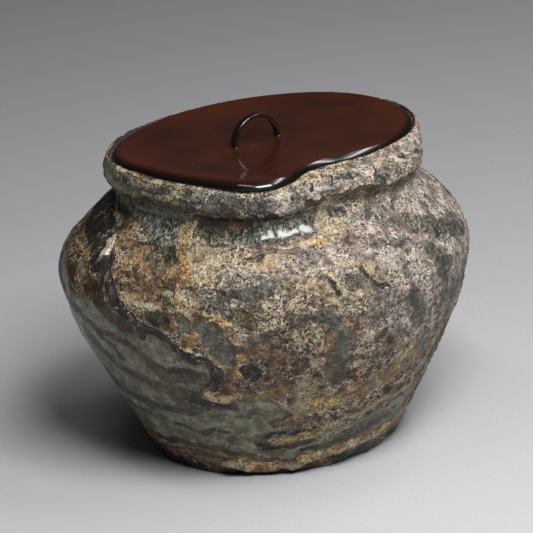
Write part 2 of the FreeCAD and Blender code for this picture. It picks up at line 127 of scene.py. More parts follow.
AXIS_HEIGHTS = np.array((0.0, 97.0, 139.5)) * MM
AXIS_X = np.array((0.0, 1.8, 5.2)) * MM
AXIS_Y = np.array((0.0, 0.0, -3.0)) * MM
FOOT_RADIUS = 62.4 * MM
BAND_TOP = 153.2 * MM
SEAT = 156.0 * MM
FLOOR = 9.5 * MM
FIRST_HEIGHT = 0.4 * MM
WALL_TRACES = 130
RIM_TRACES = 16
OVER_SEAT = 0.6 * MM
PAST_EDGE = 0.1 * MM
BORE_MIDDLE = 150 * MM
MERGE = 0.001 * MM
COLUMNS = 480
OUTER_ROWS = 158
UNDER_ROWS = 7
LEDGE_SHARES = (0.06, 0.35, 0.65, 0.94)
BORE_HEIGHTS = (155.7, 152, 148, 144.2)
HOLLOW_HEIGHTS = (143, 141, 138, 134, 130, 125, 120, 115, 110, 104, 98, 90, 82, 74, 66, 58, 50,
                  42, 34, 27, 21, 16, 12.5, 10.3)
FLOOR_SHARES = (0.82, 0.64, 0.46, 0.28, 0.12, 0.0)


def axis_at(height):
    """Middle of the leaning wall at a height."""
    return Vector((np.interp(height, AXIS_HEIGHTS, AXIS_X),
                   np.interp(height, AXIS_HEIGHTS, AXIS_Y), height))


def wall_at(height, out):
    """The jar's outside at a height, met from a direction."""
    return hit(jar_tree, axis_at(height) + out * FAR, -out)


def outer_column(out):
    """Points up the outside at one angle, evenly spaced, from the foot's edge to the lid."""
    trace = [axis_at(0.0) + out * FOOT_RADIUS]
    trace += [wall_at(height, out) for height in np.linspace(FIRST_HEIGHT, BAND_TOP, WALL_TRACES)]
    mouth = axis_at(SEAT)
    edge = (hit(jar_tree, axis_at(SEAT + OVER_SEAT), out) - mouth).to_2d().length
    band = (trace[-1] - mouth).to_2d().length
    for radius in np.linspace(band, edge + PAST_EDGE, RIM_TRACES)[1:]:
        above = Vector((mouth.x, mouth.y, FAR)) + out * radius
        trace.append(hit(jar_tree, above, Vector((0, 0, -1))))
    trace = np.array(trace)
    steps = np.linalg.norm(np.diff(trace, axis=0), axis=1)
    along = np.concatenate(([0.0], np.cumsum(steps)))
    even = np.linspace(0.0, along[-1], OUTER_ROWS)
    return np.stack([np.interp(even, along, trace[:, axis]) for axis in range(3)], axis=1), edge


def inner_column(out, edge):
    """Points from the lid's ledge down the mouth and the hollow to the middle of the floor."""
    mouth = axis_at(SEAT)
    bore = (hit(jar_tree, axis_at(BORE_MIDDLE), out) - mouth).to_2d().length
    points = [mouth + out * (edge + (bore - edge) * share) for share in LEDGE_SHARES]
    points += [axis_at(height * MM) + out * bore for height in BORE_HEIGHTS]
    points += [hit(jar_tree, axis_at(height * MM), out) for height in HOLLOW_HEIGHTS]
    corner, middle = points[-1], Vector((0.0, 0.0, FLOOR))
    level = Vector((corner.x, corner.y, FLOOR))
    return points + [middle.lerp(level, share) for share in FLOOR_SHARES]


def spun_rows(rows, columns):
    """A tube spun from a line of vertices, with each vertex's row and column kept."""
    skin = bmesh.new()
    line = [skin.verts.new((1.0, 0.0, row)) for row in range(rows)]
    edges = [skin.edges.new(pair) for pair in zip(line, line[1:])]
    bmesh.ops.spin(skin, geom=line + edges, cent=(0, 0, 0), axis=(0, 0, 1), angle=tau,
                   steps=columns, use_merge=True)
    row_layer = skin.verts.layers.int.new("row")
    column_layer = skin.verts.layers.int.new("column")
    for vertex in skin.verts:
        vertex[row_layer] = round(vertex.co.z)
        vertex[column_layer] = round(atan2(vertex.co.y, vertex.co.x) / tau * columns) % columns
    return skin


def finished(name, skin):
    """Close the seams and poles of a bmesh and make it a smooth object."""
    bmesh.ops.remove_doubles(skin, verts=skin.verts, dist=MERGE)
    bmesh.ops.recalc_face_normals(skin, faces=skin.faces)
    mesh = bpy.data.meshes.new(name)
    skin.to_mesh(mesh)
    skin.free()
    mesh.shade_smooth()
    return added(name, mesh)


def placed(name, skin, places):
    """Move each vertex of a spun tube to its row's and column's place, and finish it."""
    row_layer, column_layer = skin.verts.layers.int["row"], skin.verts.layers.int["column"]
    for vertex in skin.verts:
        vertex.co = places[vertex[row_layer], vertex[column_layer]]
    return finished(name, skin)


def vectors(mesh, name):
    """The places or the normals of a mesh's vertices."""
    values = np.empty(len(mesh.vertices) * 3)
    mesh.vertices.foreach_get(name, values)
    return values.reshape(-1, 3)


def numbers_of(mesh, name):
    """The row or the column of each vertex."""
    values = np.empty(len(mesh.vertices), dtype=np.int32)
    mesh.attributes[name].data.foreach_get("value", values)
    return values


def keep(mesh, name, values):
    """Keep a number at each vertex for the material."""
    layer = mesh.attributes.new(name, "FLOAT", "POINT")
    layer.data.foreach_set("value", values.astype(np.float32))


def make_jar_wall():
    """The whole wall as one closed skin, from under the foot round the rim to the floor."""
    columns = []
    for column in range(COLUMNS):
        out = outward(tau * column / COLUMNS)
        under = [out * FOOT_RADIUS * share for share in np.linspace(0, 1, UNDER_ROWS)[:-1]]
        outer, edge = outer_column(out)
        inner = np.array(inner_column(out, edge))
        columns.append(np.concatenate((np.array(under), outer, inner)))
    places = np.array(columns).transpose(1, 0, 2)
    return placed("stoneware_jar", spun_rows(len(places), COLUMNS), places)


jar = make_jar_wall()
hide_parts("jar_body")
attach(jar, "jar")

# Glazes of the jar

# Dark, middle and light tone, roughness, gloss, grain, softness of the edge, and how well the
# glaze hides what lies under it
GLAZES = {
    "crust": ((48, 37, 29), (113, 97, 80), (206, 188, 162), 0.75, 0.05, 1.0, 0.15, 0.74),
    "umber": ((32, 21, 12), (91, 68, 44), (162, 136, 100), 0.55, 0.15, 0.8, 0.25, 0.8),
    "pink": ((78, 68, 62), (139, 128, 118), (196, 185, 172), 0.8, 0.0, 1.0, 0.35, 0.74),
    "glass": ((50, 46, 22), (102, 99, 75), (146, 144, 122), 0.35, 0.22, 0.2, 0.35, 0.92),
    "olive": ((24, 21, 7), (56, 49, 22), (102, 92, 54), 0.45, 0.15, 0.4, 0.3, 0.74),
    "ochre": ((80, 56, 28), (147, 115, 64), (204, 176, 116), 0.5, 0.3, 0.8, 0.3, 0.74),
    "cream": ((108, 92, 68), (156, 139, 110), (204, 190, 160), 0.6, 0.2, 0.9, 0.3, 0.74),
    "charcoal": ((26, 24, 21), (66, 63, 56), (120, 115, 103), 0.55, 0.2, 0.8, 0.45, 0.74),
    "rust": ((24, 14, 4), (58, 38, 15), (106, 76, 36), 0.5, 0.1, 0.3, 0.2, 0.9),
    "dark": ((4, 3, 2), (17, 14, 11), (52, 45, 36), 0.6, 0.05, 0.6, 0.15, 0.92),
    "blue": ((50, 48, 36), (94, 92, 78), (160, 162, 152), 0.25, 0.9, 0.8, 0.6, 0.85),
    "chip": ((150, 130, 110), (214, 198, 178), (244, 234, 218), 0.7, 0.1, 0.8, 0.1, 1.0),
    "slate": ((38, 36, 24), (76, 75, 60), (112, 110, 96), 0.35, 0.2, 0.3, 0.5, 0.9),
    "clay": ((70, 54, 42), (106, 84, 64), (144, 120, 94), 0.85, 0.0, 0.6, 0.12, 1.0),
}
PIXEL = CAMERA_DISTANCE / FOCAL_PIXELS
STEP_PIXELS = 6.0
STEP_DEGREES = 3.0
FIRST_OUTER = UNDER_ROWS - 1
LAST_OUTER = FIRST_OUTER + OUTER_ROWS

# How far the lines of glaze wander, so that none runs straight
WANDER = 2.6 * MM
WANDER_SIZE = 9 * MM
WANDER_SHIFTS = (3.1, 17.3, 29.9)
TINY = 1e-12


def in_steps(line, gap):
    """A line's points, given as two numbers in turn, with more between them up to a gap."""
    points = np.array(line, dtype=float).reshape(-1, 2)
    dense = [points[0]]
    for start, end in zip(points, points[1:]):
        steps = max(1, round(np.hypot(*(end - start)) / gap))
        dense += [start + (end - start) * step / steps for step in range(1, steps + 1)]
    return dense


def drawn(pixels):
    """Points on the jar under a line that follows the photograph."""
    found = [on_jar(x, y) for x, y in in_steps(pixels, STEP_PIXELS)]
    found = [point for point in found if point]
    if not found:
        raise ValueError(f"no jar under {pixels}")
    return np.array(found)


def around(places):
    """Points on the jar along a line of azimuths in degrees and heights in millimetres."""
    return np.array([wall_at(height * MM, outward(radians(azimuth)))
                     for azimuth, height in in_steps(places, STEP_DEGREES)])


def fractal(points, size, octaves=4, shift=0.0):
    """Fractal noise over points, with features of about this size."""
    offset = Vector((shift, shift * 1.7, shift * 0.6))
    return np.array([noise.fractal(Vector(point) / size + offset, 1.0, 2.0, octaves)
                     for point in points])


class Skin:
    """The jar's vertices, how much of each glaze lies on them and how far they stand out."""

    def __init__(self, mesh):
        count, self.mesh = len(mesh.vertices), mesh
        self.points, self.normals = vectors(mesh, "co"), vectors(mesh, "normal")
        self.row, self.column = numbers_of(mesh, "row"), numbers_of(mesh, "column")
        self.outer = (self.row >= FIRST_OUTER) & (self.row < LAST_OUTER)
        self.relief = np.zeros(count)
        self.amount = {glaze: np.zeros(count) for glaze in GLAZES}
        self.amount["crust"][:] = 1.0
        wander = np.stack([fractal(self.points, WANDER_SIZE, shift=shift)
                           for shift in WANDER_SHIFTS], axis=1) * WANDER
        lift = np.sum(wander * self.normals, axis=1, keepdims=True)
        self.wavy = self.points + wander - lift * self.normals

    def cover(self, line, width, soft):
        """How much a line of this width covers each outer vertex, and which it may reach."""
        reach = width / 2 + soft
        low, high = line.min(axis=0) - reach, line.max(axis=0) + reach
        inside = np.all((self.wavy > low) & (self.wavy < high), axis=1) & self.outer
        near = np.flatnonzero(inside)
        points = self.wavy[near]
        least = np.full(len(near), np.inf)
        ends = line[1:] if len(line) > 1 else line
        for start, end in zip(line, ends):
            along = end - start
            share = np.clip((points - start) @ along / max(along @ along, TINY), 0, 1)
            gap = np.linalg.norm(points - start - share[:, None] * along, axis=1)
            least = np.minimum(least, gap)
        return near, np.clip(0.5 + (width / 2 - least) / soft, 0, 1)

    def paint(self, glaze, width, soft, line):
        """Lay a glaze along a line, over what is there."""
        near, cover = self.cover(line, width, soft)
        strength = GLAZES[glaze][-1]
        for name, amount in self.amount.items():
            amount[near] *= 1 - cover * strength
        self.amount[glaze][near] += cover * strength

    def raise_line(self, height, width, soft, line):
        """Raise or sink the surface along a line."""
        near, cover = self.cover(line, width, soft)
        self.relief[near] += height * cover * cover * (3 - 2 * cover)


# Broad glazes round the jar: width and softness in millimetres, then an azimuth and a height
# for each point in turn
AROUND = (
    ("pink", 88, 40, (-42, 96, 0, 100, 42, 96)),
    ("pink", 40, 30, (-48, 128, -10, 130, 30, 130)),
    ("umber", 60, 24, (118, 100, 160, 104, 196, 100)),
    ("glass", 74, 22, (112, 38, 150, 36, 190, 38, 222, 34, 252, 18)),
    ("glass", 40, 20, (128, 84, 168, 78, 208, 66)),
    ("crust", 60, 30, (62, 60, 92, 70)),
    ("olive", 24, 14, (60, 122, 90, 128, 130, 124, 160, 128)),
    ("blue", 18, 10, (70, 132, 100, 133, 140, 132, 180, 134)),
    ("charcoal", 26, 12, (50, 84, 66, 98, 84, 92)),
    ("charcoal", 20, 10, (10, 118, 30, 124, 56, 116)),
    ("charcoal", 16, 8, (-22, 84, -6, 92, 14, 86, 30, 92)),
    ("charcoal", 14, 8, (96, 110, 116, 114, 140, 106)),
    ("ochre", 18, 10, (86, 56, 100, 40, 118, 30)),
    ("ochre", 12, 8, (66, 66, 78, 52, 84, 34)),
    ("cream", 14, 8, (96, 96, 110, 90, 124, 92)),
    ("cream", 9, 7, (20, 70, 24, 50, 22, 30)),
    ("cream", 8, 7, (44, 74, 48, 56, 52, 36, 50, 20)),
    ("cream", 7, 6, (4, 60, 2, 44, 6, 26)),
    ("charcoal", 9, 6, (34, 72, 36, 54, 40, 38)),
    ("charcoal", 8, 5, (12, 56, 12, 36)),
    ("ochre", 8, 5, (-30, 8, 0, 10, 40, 7, 80, 9, 120, 6)),
    ("rust", 6, 4, (130, 6, 160, 8, 196, 6)),
    ("rust", 6, 4, (120, 76, 150, 66, 180, 60, 204, 46)),
    ("rust", 5, 4, (104, 62, 136, 50, 170, 44, 196, 30)),
    ("rust", 4, 4, (112, 40, 140, 30, 176, 24)),
    ("olive", 5, 4, (128, 58, 152, 56, 176, 52, 190, 48)),
    ("rust", 10, 6, (150, 112, 164, 118, 178, 112)),
    ("rust", 8, 6, (108, 122, 122, 118, 132, 122)),
    ("umber", 14, 8, (76, 14, 104, 14)),
    # painted shade on the rim behind the lid
    ("dark", 6, 5, (100, 157.5, 135, 157.5, 168, 157.5)),
)

# Curled ridges of the crust, and the dark ring's upper and lower line, in pixels
FIRST_CURL = (321, 275, 331, 284, 343, 296)
SECOND_CURL = (364, 268, 374, 281, 383, 292)
THIRD_CURL = (352, 294, 362, 298, 372, 296)
RING_TOP = (258, 442, 264, 436, 276, 433, 292, 432, 308, 430)
RING_LOW = (258, 443, 266, 448, 280, 449, 296, 446, 312, 440)

# Glazes laid along lines that follow the photograph: width and softness in its pixels, then x
# and y of each point in turn
LINES = (
    # Neck and shoulder on the left, with painted shade in the hollow beside the thick ash
    ("umber", 70, 14, (92, 216, 78, 244, 74, 272, 84, 294)),
    # painted shade: dark glaze filling the shadowed hollow
    ("dark", 28, 8, (112, 200, 106, 216, 103, 238, 103, 258)),
    ("dark", 15, 8, (102, 204, 94, 220, 94, 236)),
    ("rust", 12, 6, (88, 266, 84, 280, 94, 296)),
    ("rust", 8, 5, (70, 236, 68, 250, 70, 268, 76, 284)),
    ("glass", 14, 8, (66, 256, 65, 272, 69, 292)),
    ("glass", 10, 9, (82, 266, 86, 282, 90, 290)),
    ("glass", 14, 8, (74, 300, 90, 306)),
    ("ochre", 4, 2, (79, 227, 81, 230)),
    ("ochre", 4, 2, (78, 242, 82, 247, 88, 254, 92, 260)),
    ("umber", 52, 12, (140, 270, 166, 278)),
    ("olive", 18, 6, (125, 200, 130, 212, 136, 226)),
    ("blue", 30, 8, (148, 212, 162, 226, 172, 236)),
    ("blue", 16, 6, (140, 210, 160, 212, 184, 218)),
    ("umber", 12, 6, (123, 230, 138, 229)),
    ("blue", 8, 4, (146, 243, 166, 243, 182, 242)),
    ("umber", 14, 7, (122, 242, 134, 247, 152, 252)),
    ("olive", 16, 8, (168, 252, 166, 264)),
    ("ochre", 14, 8, (186, 232, 182, 254, 186, 278)),
    ("charcoal", 7, 4, (144, 259, 156, 261)),
    ("charcoal", 4, 3, (136, 281, 148, 283, 158, 284)),
    ("charcoal", 6, 4, (124, 272, 130, 290)),
    ("glass", 9, 5, (159, 290, 171, 293)),
    # Under the rim band, in the middle
    ("olive", 26, 8, (206, 228, 240, 232, 280, 228)),
    ("charcoal", 9, 5, (206, 227, 235, 225, 262, 223)),
    ("blue", 22, 6, (252, 231, 280, 229, 308, 222)),
    ("blue", 12, 6, (214, 240, 240, 241, 262, 238)),
    # painted shade under the rim band's lower edge
    ("dark", 7, 4, (195, 217, 230, 220, 264, 220, 300, 213)),
    ("rust", 6, 3, (196, 219, 226, 223, 250, 223)),
    ("pink", 26, 12, (226, 276, 260, 274, 304, 266, 340, 256)),
    ("cream", 28, 12, (201, 256, 203, 274)),
    ("cream", 18, 12, (222, 262, 250, 264, 270, 262)),
    ("ochre", 11, 6, (256, 258, 276, 252, 300, 246, 322, 240)),
    ("rust", 4, 5, (245, 260, 262, 256, 286, 250, 298, 248)),
    ("cream", 32, 7, (328, 212, 332, 228)),
    ("charcoal", 8, 5, (330, 209, 341, 214)),
    # Ochre net and grey pools in the middle
    ("crust", 60, 14, (250, 310, 300, 330, 340, 360)),
    ("charcoal", 13, 5, (193, 299, 207, 296, 224, 299, 238, 297)),
    ("charcoal", 16, 5, (246, 296, 262, 290, 272, 284)),
    ("rust", 5, 3, (216, 293, 222, 296)),
    ("umber", 36, 12, (128, 276, 136, 296, 152, 312, 166, 322)),
    ("olive", 14, 8, (148, 318, 164, 328)),
    ("cream", 10, 6, (126, 300, 142, 308, 158, 311)),
    ("ochre", 40, 10, (196, 322, 214, 336, 230, 372)),
    ("ochre", 16, 6, (180, 300, 190, 326, 186, 346)),
    ("cream", 11, 5, (177, 293, 191, 306, 184, 318)),
    ("charcoal", 10, 4, (200, 306, 214, 310, 228, 306)),
    ("slate", 10, 4, (180, 322, 184, 330)),
    ("slate", 14, 5, (240, 322, 252, 326)),
    ("slate", 26, 6, (206, 330, 214, 345, 226, 352)),
    ("slate", 16, 5, (222, 352, 232, 364)),
    ("ochre", 5, 3, (208, 326, 222, 320, 232, 327)),
    ("olive", 17, 6, (236, 317, 249, 324)),
    ("charcoal", 9, 4, (246, 347, 258, 343, 272, 334)),
    ("ochre", 8, 4, (228, 338, 240, 348, 250, 354)),
    ("cream", 4, 3, (232, 342, 246, 352, 240, 362)),
    ("ochre", 14, 5, (226, 386, 238, 372, 244, 360)),
    ("umber", 11, 4, (226, 387, 240, 386)),
    ("ochre", 9, 5, (228, 397, 250, 396, 276, 394)),
    # Rough crust on the right
    ("ochre", 24, 20, (300, 408, 340, 398, 390, 374, 414, 350)),
    ("ochre", 16, 14, (262, 398, 290, 388, 310, 392)),
    ("cream", 9, 5, (290, 334, 300, 342)),
    ("cream", 8, 5, (309, 356, 318, 368, 326, 378)),
    ("umber", 34, 14, (347, 332, 341, 362)),
    ("slate", 16, 14, (346, 340, 341, 366)),
    ("olive", 24, 10, (336, 362, 338, 376)),
    ("umber", 34, 24, (268, 356, 290, 374)),
    ("umber", 20, 8, (290, 372, 300, 360)),
    ("cream", 15, 7, (306, 386, 304, 400, 294, 410)),
    ("charcoal", 14, 6, (298, 322, 320, 318, 346, 330)),
    ("charcoal", 16, 7, (350, 276, 372, 288)),
    ("charcoal", 24, 7, (408, 220, 435, 224, 462, 228)),
    ("charcoal", 11, 6, (376, 242, 404, 242)),
    ("charcoal", 18, 7, (430, 246, 452, 264)),
    ("charcoal", 10, 6, (446, 274, 450, 292)),
    ("charcoal", 19, 4, (418, 294, 421, 314)),
    ("cream", 10, 6, (328, 300, 341, 305)),
    ("cream", 8, 6, (344, 262, 372, 262)),
    ("cream", 5, 4, (322, 271, 330, 275, 336, 281)),
    ("cream", 5, 4, (336, 283, 341, 290, 348, 292)),
    ("cream", 5, 4, THIRD_CURL),
    ("cream", 4, 4, (369, 266, 379, 280, 388, 290)),
    ("dark", 3, 4, FIRST_CURL),
    ("dark", 3, 4, SECOND_CURL),
    ("dark", 3, 4, (376, 284, 392, 288)),
    ("umber", 17, 6, (384, 336, 391, 347)),
    ("cream", 9, 6, (440, 326, 430, 350, 420, 370)),
    ("charcoal", 5, 3, (426, 324, 424, 348)),
    # Smooth green glass low down, with its iron stripes
    ("glass", 50, 12, (180, 420, 220, 426, 262, 420)),
    ("glass", 70, 8, (104, 330, 140, 366, 180, 396)),
    ("glass", 40, 8, (90, 310, 112, 330)),
    ("glass", 36, 6, (118, 326, 150, 348, 184, 368, 204, 386)),
    ("glass", 20, 6, (128, 338, 152, 352, 176, 364, 198, 372)),
    ("rust", 18, 7, (90, 292, 106, 314, 122, 327, 138, 332)),
    ("rust", 9, 6, (72, 296, 82, 316, 96, 331, 110, 336, 128, 348, 146, 360)),
    ("rust", 12, 6, (143, 356, 161, 371, 178, 374, 203, 377)),
    ("olive", 14, 6, (150, 367, 170, 379, 202, 382)),
    ("rust", 7, 5, (92, 326, 98, 338, 112, 350, 124, 360)),
    ("olive", 19, 8, (85, 334, 98, 346, 117, 364, 135, 376, 156, 385, 174, 393, 196, 401,
                      214, 404)),
    ("rust", 7, 5, (116, 362, 134, 375, 156, 384, 176, 391, 200, 398)),
    ("olive", 16, 8, (108, 370, 119, 385, 135, 396, 153, 405, 172, 409, 193, 411, 211, 408)),
    ("rust", 6, 5, (119, 385, 135, 396, 153, 404, 172, 408)),
    ("olive", 16, 8, (176, 398, 204, 405, 232, 408)),
    # painted shadow under the bead
    ("dark", 10, 8, (190, 401, 206, 405, 226, 406)),
    ("olive", 8, 6, (126, 398, 146, 412, 164, 417)),
    ("olive", 7, 6, (176, 424, 200, 432, 228, 434)),
    ("umber", 34, 10, (150, 440, 168, 454, 196, 462, 216, 464)),
    ("rust", 9, 5, (143, 427, 166, 438, 188, 444, 214, 446, 235, 455, 253, 456, 274, 461,
                    296, 461)),
    ("dark", 12, 7, (154, 446, 174, 458, 202, 466)),
    ("ochre", 6, 3, (168, 447, 180, 455)),
    ("ochre", 6, 3, (149, 431, 152, 439)),
    # Dark run down the edge of the thick ash, and the bead at its end with its painted shadow and
    # painted highlight
    ("dark", 13, 3, (106, 262, 107, 278, 113, 296, 121, 310, 130, 320)),
    ("dark", 9, 3, (130, 320, 146, 329, 158, 333, 170, 342, 182, 352, 193, 362)),
    ("dark", 10, 3, (193, 361, 205, 363, 214, 369, 218, 378, 213, 390)),
    ("umber", 3, 2, (194, 361, 202, 364, 209, 369, 213, 376)),
    ("cream", 4, 2, (116, 305, 118, 308)),
    ("cream", 4, 2, (128, 315, 130, 318)),
    # painted shadow to the left of the bead
    ("dark", 6, 3, (207, 386, 207, 396, 211, 403)),
    ("ochre", 24, 3, (213, 396, 226, 398)),
    # painted highlight on the bead
    ("cream", 11, 5, (212, 395, 222, 400)),
    # Dark ring low in the middle, and the lines of pale ash at the foot
    ("umber", 13, 4, (276, 424, 292, 418, 314, 420)),
    ("rust", 5, 3, (272, 426, 278, 420, 292, 416)),
    ("glass", 30, 6, (300, 444, 330, 440, 362, 427, 396, 408)),
    ("charcoal", 16, 6, (344, 436, 370, 424, 392, 410)),
    ("olive", 9, 4, RING_TOP),
    ("olive", 9, 4, RING_LOW),
    ("dark", 4, 3, (262, 438, 276, 434, 300, 432)),
    ("dark", 4, 3, (259, 444, 268, 448, 284, 448)),
    ("ochre", 10, 4, (268, 442, 296, 439, 313, 434, 326, 426, 346, 418, 366, 410, 379, 401,
                      394, 394, 407, 386, 416, 373)),
    ("cream", 5, 3, (326, 426, 346, 418, 366, 410, 394, 394, 407, 386, 425, 356)),
    ("rust", 6, 4, (300, 452, 330, 444, 360, 430, 390, 412)),
    ("charcoal", 8, 3, (397, 389, 408, 382)),
    ("olive", 14, 5, (228, 471, 262, 475, 296, 471, 330, 463, 372, 444, 402, 416)),
    ("ochre", 17, 4, (224, 463, 260, 467, 290, 465, 313, 459, 339, 449, 361, 440, 378, 431,
                      396, 420, 405, 404)),
    ("cream", 11, 4, (230, 464, 248, 468)),
    ("cream", 9, 4, (284, 466, 300, 464, 318, 458)),
    ("cream", 11, 4, (332, 453, 352, 446, 370, 437, 386, 428)),
    ("charcoal", 7, 3, (320, 468, 350, 458, 378, 446, 400, 426)),
    # Rim band
    ("glass", 26, 8, (106, 168, 116, 184, 140, 192, 165, 198, 188, 202)),
    ("charcoal", 8, 5, (116, 178, 140, 186, 170, 192)),
    ("olive", 7, 4, (113, 190, 135, 198, 155, 203, 175, 207, 192, 208)),
    ("ochre", 4, 3, (111, 186, 134, 193, 153, 197, 172, 199, 187, 197)),
    ("cream", 5, 2, (187, 196, 191, 197)),
    ("charcoal", 24, 6, (192, 201, 230, 207, 266, 207)),
    ("ochre", 4, 3, (226, 214, 242, 215)),
    ("pink", 30, 7, (282, 204, 310, 194, 340, 182, 370, 170, 396, 154, 414, 132)),
    ("charcoal", 14, 4, (380, 172, 391, 164)),
    ("charcoal", 7, 4, (402, 158, 418, 150)),
    ("cream", 3, 3, (108, 154, 113, 164, 126, 173, 150, 181, 180, 187, 206, 191)),
    ("cream", 4, 2, (419, 142, 420, 148)),
    ("rust", 5, 3, (310, 206, 325, 199, 352, 192, 384, 182)),
    ("charcoal", 9, 5, (340, 178, 356, 173)),
    ("charcoal", 8, 5, (296, 201, 304, 196)),
    # painted shade under the band's lower edge
    ("dark", 3, 2, (318, 204, 330, 199, 345, 195)),
    # Flake of kiln wall stuck in the ash
    ("chip", 12, 2, (114, 241, 112, 250, 106, 256)),
    # Round dark spot in the ochre
    ("dark", 18, 5, (250, 372, 251, 376)),
    ("olive", 6, 8, (250, 372, 251, 374)),
)

# Lines that stand out or lie in: height in millimetres, then as above
RELIEFS = (
    (0.9, 10, 5, (104, 262, 106, 278, 113, 296, 122, 310, 131, 320, 146, 329, 158, 332, 170, 341,
                  182, 350, 193, 361, 205, 364, 214, 368, 219, 377, 216, 388)),
    (2.2, 12, 6, (212, 395, 225, 399)),
    (1.6, 12, 3, (113, 242, 111, 250, 105, 257)),
    (0.6, 3, 5, (111, 186, 134, 193, 153, 197, 172, 199, 189, 197)),
    (-0.8, 1.5, 4, FIRST_CURL),
    (-0.7, 1.5, 4, SECOND_CURL),
    (0.6, 4, 4, (324, 270, 336, 279, 346, 290)),
    (0.5, 4, 4, (368, 266, 378, 279, 388, 290)),
    (0.5, 4, 4, THIRD_CURL),
    (-0.5, 15, 6, (250, 374, 251, 375)),
    (0.4, 7, 4, (250, 374, 251, 375)),
    (-0.4, 4, 4, RING_TOP),
    (-0.4, 4, 4, RING_LOW),
    (0.5, 5, 5, (313, 434, 346, 418, 379, 401, 407, 386, 416, 373)),
    (1.0, 11, 6, (226, 464, 260, 468, 290, 465, 339, 448, 378, 433, 406, 405)),
    (0.8, 9, 5, (232, 464, 246, 467)),
    (0.8, 9, 5, (290, 465, 306, 462)),
    (0.8, 9, 5, (336, 452, 352, 446)),
    (0.9, 9, 5, (330, 197, 360, 190, 380, 184, 400, 177, 414, 166)),
    (0.7, 14, 12, (80, 232, 70, 262, 74, 290)),
)

# Short cracks across the rim band: width and softness of their colour, height, width and
# softness of their groove, and their lines
CRACK_COLOUR = (1.5, 3)
CRACK_GROOVE = (-0.8, 2.5, 3)
RIM_CRACKS = (
    (298, 187, 301, 195), (309, 182, 312, 190), (329, 175, 332, 186), (347, 171, 350, 178),
    (371, 163, 376, 174), (398, 150, 403, 158), (243, 197, 247, 204),
)

# Edge of the thick ash on the left shoulder, from the neck down in pixels, and the heights and
# distances over which its step rises and fades, in millimetres
SLAB_EDGE = (119, 194, 120, 214, 118, 236, 116, 262)
SLAB_STEP = 1.9
SLAB_MIDDLE = 125
SLAB_FOOT = (92, 106)
SLAB_HEAD = (138, 144)
SLAB_LIP = (-0.5, 2.5)
SLAB_FADE = (4, 20)


def smooth_step(value, low, high):
    """Zero below low, one above high, and a soft rise between."""
    share = np.clip((value - low) / (high - low), 0, 1)
    return share * share * (3 - 2 * share)


def fade(value, middle, full, none):
    """One near a middle value, falling softly to zero between two distances from it."""
    return 1 - smooth_step(np.abs(value - middle), full, none)


def azimuth_of(places, middle=(0.0, 0.0)):
    """Angle of each place round the upright line through a middle."""
    return np.arctan2(places[:, 1] - middle[1], places[:, 0] - middle[0]) % tau


def dress_jar(skin):
    """Lay on the glazes and raise what stands out."""
    for glaze, width, soft, places in AROUND:
        skin.paint(glaze, width * MM, soft * MM, around(places))
    for glaze, width, soft, pixels in LINES + tuple(("dark", *CRACK_COLOUR, line)
                                                    for line in RIM_CRACKS):
        skin.paint(glaze, width * PIXEL, soft * PIXEL, drawn(pixels))
    for height, width, soft, pixels in RELIEFS + tuple((*CRACK_GROOVE, line)
                                                       for line in RIM_CRACKS):
        skin.raise_line(height * MM, width * PIXEL, soft * PIXEL, drawn(pixels))


def step_at_slab(skin):
    """The shoulder lies lower on the hidden side of the thick ash's upright edge."""
    middle, edge = axis_at(SLAB_MIDDLE * MM), drawn(SLAB_EDGE)
    edge = edge[np.argsort(edge[:, 2])]
    limit = np.interp(skin.points[:, 2], edge[:, 2], azimuth_of(edge, middle))
    reach = np.linalg.norm(skin.points[:, :2] - middle[:2], axis=1)
    beyond = (limit - azimuth_of(skin.points, middle)) * reach / MM
    height = skin.points[:, 2] / MM
    upright = smooth_step(height, *SLAB_FOOT) * (1 - smooth_step(height, *SLAB_HEAD))
    lower = smooth_step(beyond, *SLAB_LIP) * (1 - smooth_step(beyond, *SLAB_FADE))
    skin.relief -= SLAB_STEP * MM * lower * upright * skin.outer


# Relief all over the jar: noises as size in millimetres, octaves and shift; where the rim, foot,
# ledge and belly begin and end, and the swell and the lowered rim behind, in millimetres of
# height and degrees of azimuth
BROAD_NOISE, LUMP_NOISE, FINE_NOISE = (26, 3, 5.5), (8, 4, 11.2), (3.4, 3, 23.7)
CURL_NOISE, CLUSTER_NOISE = (6.5, 3, 41.9), (24, 2, 53.1)
STREAK_NOISE, STREAK_STRETCH = (3.2, 3, 31.3), (1, 1, 0.22)
THROWING_RING = 8.5
RING_WAVER = 2.5
ROUGH_SHARES = {"crust": 1.0, "pink": 0.8, "charcoal": 0.5, "cream": 0.6, "ochre": 0.4,
                "umber": 0.3}
RIM_ROUGH = 0.7
RIM_HEIGHTS = (143, 147)
FOOT_HEIGHTS = (3, 14)
LEDGE_HEIGHTS = (150, 157)
LEDGE_CALM = 0.45
CURL_HALF = 0.16
CURL_GROUPS = (-0.1, 0.2)
BELLY = (97, 14, 34)
SWELL, SWELL_AZIMUTH, SWELL_HEIGHT = 2.6, (192, 16, 46), (116, 12, 34)
LOWERED, LOWERED_AZIMUTH, LOWERED_HEIGHTS = 1.2, (92, 40, 74), (152, 158)
INSET, BELLY_INSET = 0.15, 0.6


